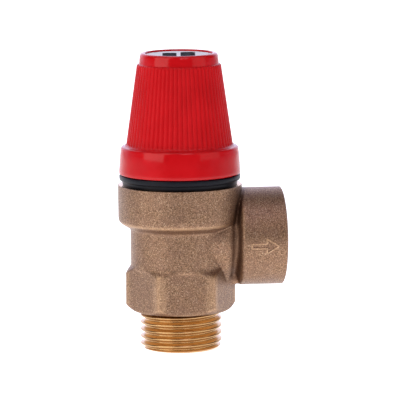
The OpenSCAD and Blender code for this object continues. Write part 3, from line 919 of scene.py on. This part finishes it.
def label_film():
    t = Tree("printed_label_film")
    x, y, z = t.xyz()
    b = math.radians(6.8)
    u = t.math("SUBTRACT", t.math("MULTIPLY", x, math.cos(b)), t.math("MULTIPLY", y, math.sin(b)))
    v = t.math("ADD", t.math("MULTIPLY", x, math.sin(b)), t.math("MULTIPLY", y, math.cos(b)))
    paper = t.noise(700, 3, 0.6)
    c = t.mix(t.fit(paper, 0.3, 0.7), (0.80, 0.82, 0.88), (0.88, 0.90, 0.95))
    left = rounded_box(t, u, v, -0.00238, -0.0007, 0.00180, 0.0047, 0.0013, 0.00004)
    right = rounded_box(t, u, v, 0.0023, -0.0010, 0.00186, 0.0068, 0.0013, 0.00004)
    ink = t.math("MAXIMUM", left, right)
    # short light bars inside the printed marks
    bars = None
    for cu, cv, hu, hv in ((-0.0024, 0.0012, 0.0006, 0.00022), (0.0022, 0.0026, 0.0009, 0.00022),
                           (0.0020, 0.0008, 0.0007, 0.00022), (0.0024, -0.0010, 0.0008, 0.00022)):
        one = rounded_box(t, u, v, cu, cv, hu, hv, 0.00012, 0.00004)
        bars = one if bars is None else t.math("MAXIMUM", bars, one)
    wear = t.fit(t.noise(2600, 3, 0.6), 0.35, 0.6)
    bars = t.math("MULTIPLY", bars, t.math("MULTIPLY", wear, 0.55))
    c = t.mix(ink, c, (0.012, 0.013, 0.017))
    c = t.mix(bars, c, (0.30, 0.32, 0.37))
    t.set(color=c, rough=t.fit(ink, 0, 1, 0.85, 0.75), spec=0.02)
    t.set(normal=t.bump(t.math("ADD", t.math("MULTIPLY", ink, 0.6), t.math("MULTIPLY", paper, 0.2)), 0.3, 0.00002))
    return t.mat


M = {
    "cast_brass": cast_brass(), "turned_z": turned_brass("turned_brass_upright", "z"),
    "turned_x": turned_brass("turned_brass_outlet", "x"), "red_plastic": red_plastic(),
    "black_nylon": black_nylon(), "rubber": rubber(), "natural_plastic": natural_plastic(),
    "plated_steel": plated_steel(), "spring_steel": spring_steel(), "label_film": label_film(),
}
M["turned_brass"] = M["turned_z"]


def dress(ob, *mats):
    ob.data.materials.clear()
    for m in mats:
        ob.data.materials.append(m)


# ---------------------------------------------------------------- pieces
body = make_body()
index = np.empty(len(body.data.polygons), np.int32)
body.data.polygons.foreach_get("material_index", index)
dress(body, M["cast_brass"], M["turned_z"], M["turned_x"])
body.data.polygons.foreach_set("material_index", index)
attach(body, "housing")
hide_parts("valve_body")

knob = knob_mesh()
dress(knob, M["red_plastic"])
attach(knob, "knob")
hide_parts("knob")

bonnet = bonnet_mesh()
dress(bonnet, M["black_nylon"])
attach(bonnet, "housing")
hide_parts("bonnet")

label = label_mesh()
dress(label, M["label_film"])
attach(label, "knob")
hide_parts("label_disc")

coil = spring_mesh()
dress(coil, M["spring_steel"])
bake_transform(coil)
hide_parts("spring")

membrane = diaphragm_mesh()
dress(membrane, M["rubber"])
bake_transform(membrane)
# the membrane's vertex positions, read into an array
co = np.empty(len(membrane.data.vertices) * 3)
membrane.data.vertices.foreach_get("co", co)
co = co.reshape(-1, 3)
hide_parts("diaphragm")

kept = {
    "slip_ring": "natural_plastic", "disc_holder": "turned_brass", "seat_seal": "rubber", "seal_washer": "plated_steel",
    "seal_screw": "plated_steel", "stem": "turned_brass", "diaphragm_washer": "plated_steel",
    "stem_lock_washer": "spring_steel", "stem_nut": "plated_steel", "spring_plate": "plated_steel",
    "thrust_washer": "plated_steel", "adjusting_nut": "turned_brass", "knob_washer": "plated_steel",
    "knob_screw": "plated_steel",
}
for node, slot in kept.items():
    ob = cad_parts[node]
    if len(ob.material_slots) == 0:
        ob.data.materials.append(M[slot])
    for k in range(len(ob.material_slots)):
        ob.material_slots[k].material = M[slot]
    ob.data.polygons.foreach_set("use_smooth", np.ones(len(ob.data.polygons), dtype=bool))


# ---------------------------------------------------------------- floor, light, camera
def plain(name, color, rough):
    t = Tree(name)
    n = t.noise(3, 2, 0.5)
    t.set(color=t.mix(t.fit(n, 0.3, 0.7), tuple(q * 0.985 for q in color), color), rough=rough, spec=0.25)
    return t.mat


me = bpy.data.meshes.new("floor")
me.from_pydata([(-6, -3, 0), (6, -3, 0), (6, 7, 0), (-6, 7, 0)], [], [(0, 1, 2, 3)])
floor = bpy.data.objects.new("floor", me)
bpy.context.scene.collection.objects.link(floor)
floor.location.z = -0.00005
pale = plain("pale_floor", (0.88, 0.88, 0.89), 0.55)
glow = pale.node_tree.nodes["Principled BSDF"]
glow.inputs["Emission Color"].default_value = (1.0, 1.0, 1.0, 1)
place_on_floor = pale.node_tree.nodes.new("ShaderNodeSeparateXYZ")
pale.node_tree.links.new(pale.node_tree.nodes["Texture Coordinate"].outputs["Object"], place_on_floor.inputs[0])
fade = pale.node_tree.nodes.new("ShaderNodeMapRange")
fade.interpolation_type = "SMOOTHSTEP"
pale.node_tree.links.new(place_on_floor.outputs[1], fade.inputs[0])
for k, x in zip((1, 2, 3, 4), (-0.60, -0.30, 0.10, 0.95)):
    fade.inputs[k].default_value = x
across = pale.node_tree.nodes.new("ShaderNodeMath")
across.operation = "ABSOLUTE"
pale.node_tree.links.new(place_on_floor.outputs[0], across.inputs[0])
sides = pale.node_tree.nodes.new("ShaderNodeMapRange")
sides.interpolation_type = "SMOOTHSTEP"
pale.node_tree.links.new(across.outputs[0], sides.inputs[0])
for k, x in zip((1, 2, 3, 4), (0.35, 0.75, 1.0, 0.45)):
    sides.inputs[k].default_value = x
both = pale.node_tree.nodes.new("ShaderNodeMath")
both.operation = "MULTIPLY"
pale.node_tree.links.new(fade.outputs[0], both.inputs[0])
pale.node_tree.links.new(sides.outputs[0], both.inputs[1])
# a darker patch of floor in front, out of view, so that the metal's front isn't flat


def floor_math(op, a, b):
    node = pale.node_tree.nodes.new("ShaderNodeMath")
    node.operation = op
    for k, v in enumerate((a, b)):
        if isinstance(v, (int, float)):
            node.inputs[k].default_value = v
        else:
            pale.node_tree.links.new(v, node.inputs[k])
    return node.outputs[0]


def floor_step(v, a, b):
    node = pale.node_tree.nodes.new("ShaderNodeMapRange")
    node.interpolation_type = "SMOOTHSTEP"
    pale.node_tree.links.new(v, node.inputs[0])
    node.inputs[1].default_value = a
    node.inputs[2].default_value = b
    return node.outputs[0]


patch_x = floor_step(floor_math("ABSOLUTE", floor_math("ADD", place_on_floor.outputs[0], 0.08), 0.0), 0.13, 0.03)
patch_y = floor_step(place_on_floor.outputs[1], -0.09, -0.17)
patch = floor_math("SUBTRACT", 1.0, floor_math("MULTIPLY", floor_math("MULTIPLY", patch_x, patch_y), 0.45))
pale.node_tree.links.new(floor_math("MULTIPLY", both.outputs[0], patch), glow.inputs["Emission Strength"])
floor.data.materials.append(pale)

world = bpy.data.worlds.new("studio")
bpy.context.scene.world = world
world.use_nodes = True
wt = world.node_tree
bg = wt.nodes["Background"]
bg.inputs["Strength"].default_value = 1.0
tc = wt.nodes.new("ShaderNodeTexCoord")
sep = wt.nodes.new("ShaderNodeSeparateXYZ")
wt.links.new(tc.outputs["Generated"], sep.inputs[0])


def sky_ramp(source, a, b, c, d):
    n = wt.nodes.new("ShaderNodeMapRange")
    n.interpolation_type = "SMOOTHSTEP"
    wt.links.new(source, n.inputs[0])
    for k, x in zip((1, 2, 3, 4), (a, b, c, d)):
        n.inputs[k].default_value = x
    return n.outputs[0]


# a white wall behind the object, a white skirting all round, and a dark room above it in front
wall = sky_ramp(sep.outputs[1], 0.35, 0.92, 0.012, 1.0)
skirting = sky_ramp(sep.outputs[2], 0.062, 0.075, 1.0, 0.0)
most = wt.nodes.new("ShaderNodeMath")
most.operation = "MAXIMUM"
front = sky_ramp(sep.outputs[1], -0.75, -0.45, 0.0, 0.28)
low = wt.nodes.new("ShaderNodeMath")
low.operation = "MULTIPLY"
wt.links.new(skirting, low.inputs[0])
wt.links.new(front, low.inputs[1])
wt.links.new(wall, most.inputs[0])
wt.links.new(low.outputs[0], most.inputs[1])
mixw = wt.nodes.new("ShaderNodeMix")
mixw.data_type = "RGBA"
wt.links.new(most.outputs[0], mixw.inputs[0])
cols = [q for q in mixw.inputs if q.type == "RGBA"]
cols[0].default_value = (0.0, 0.0, 0.0, 1)
cols[1].default_value = (1.40, 1.42, 1.85, 1)
wt.links.new([q for q in mixw.outputs if q.type == "RGBA"][0], bg.inputs["Color"])


def area(name, loc, target, size, power, color=(1, 1, 1)):
    d = bpy.data.lights.new(name, "AREA")
    d.shape = "RECTANGLE"
    d.size, d.size_y = size
    d.energy = power
    d.color = color
    o = bpy.data.objects.new(name, d)
    o.location = loc
    o.rotation_mode = "QUATERNION"
    o.rotation_quaternion = (Vector(target) - Vector(loc)).to_track_quat("-Z", "Y")
    bpy.context.scene.collection.objects.link(o)
    return o


mid = (0, 0, 0.04)
area("key_left", (-0.73, -0.43, 0.49), mid, (0.80, 0.86), 4.75, (1.0, 0.98, 0.95))
area("fill_right", (0.72, -0.50, 0.48), mid, (0.80, 0.80), 1.7, (1.0, 0.96, 0.94))
area("front_mid", (0.14, -0.85, 0.56), mid, (0.35, 0.35), 1.0, (1.0, 0.89, 0.92))
area("over_front", (0.06, -0.50, 1.05), mid, (0.5, 0.5), 1.75, (0.80, 0.72, 1.0))
area("top_left", (-0.27, -0.21, 1.0), mid, (0.4, 0.4), 0.8, (1.0, 0.96, 0.94))
area("floor_wash", (0.0, 0.1, 1.3), (0, 0.1, 0), (1.2, 1.2), 1.2)

# camera: 8.2 degrees above the horizon, 6.8 degrees round to the left, aimed a little to the right of the axis
EL, AZ, DIST, FOCAL, ROLL = math.radians(8.17), math.radians(-6.8), 0.9, 3511.2, math.radians(0.47)
back = Vector((math.sin(AZ) * math.cos(EL), -math.cos(AZ) * math.cos(EL), math.sin(EL)))
right = Vector((math.cos(AZ), math.sin(AZ), 0))
up = back.cross(right)
right_c = right * math.cos(ROLL) - up * math.sin(ROLL)
up_c = right * math.sin(ROLL) + up * math.cos(ROLL)
target = Vector((0, 0, 0.038))
place = target + back * DIST
aim = target + (right_c * 20.01 + up_c * 0.55) * (DIST / FOCAL)
zc = (place - aim).normalized()
xc = (right_c - zc * right_c.dot(zc)).normalized()
yc = zc.cross(xc)
cam_data = bpy.data.cameras.new("camera")
cam_data.sensor_width = 36.0
cam_data.lens = FOCAL / 400 * 36.0
cam_data.clip_start, cam_data.clip_end = 0.05, 30
cam = bpy.data.objects.new("camera", cam_data)
cam.matrix_world = Matrix(((xc.x, yc.x, zc.x, place.x), (xc.y, yc.y, zc.y, place.y),
                           (xc.z, yc.z, zc.z, place.z), (0, 0, 0, 1)))
bpy.context.scene.collection.objects.link(cam)
bpy.context.scene.camera = cam
bpy.context.scene.view_settings.view_transform = "Standard"
bpy.context.scene.view_settings.look = "None"
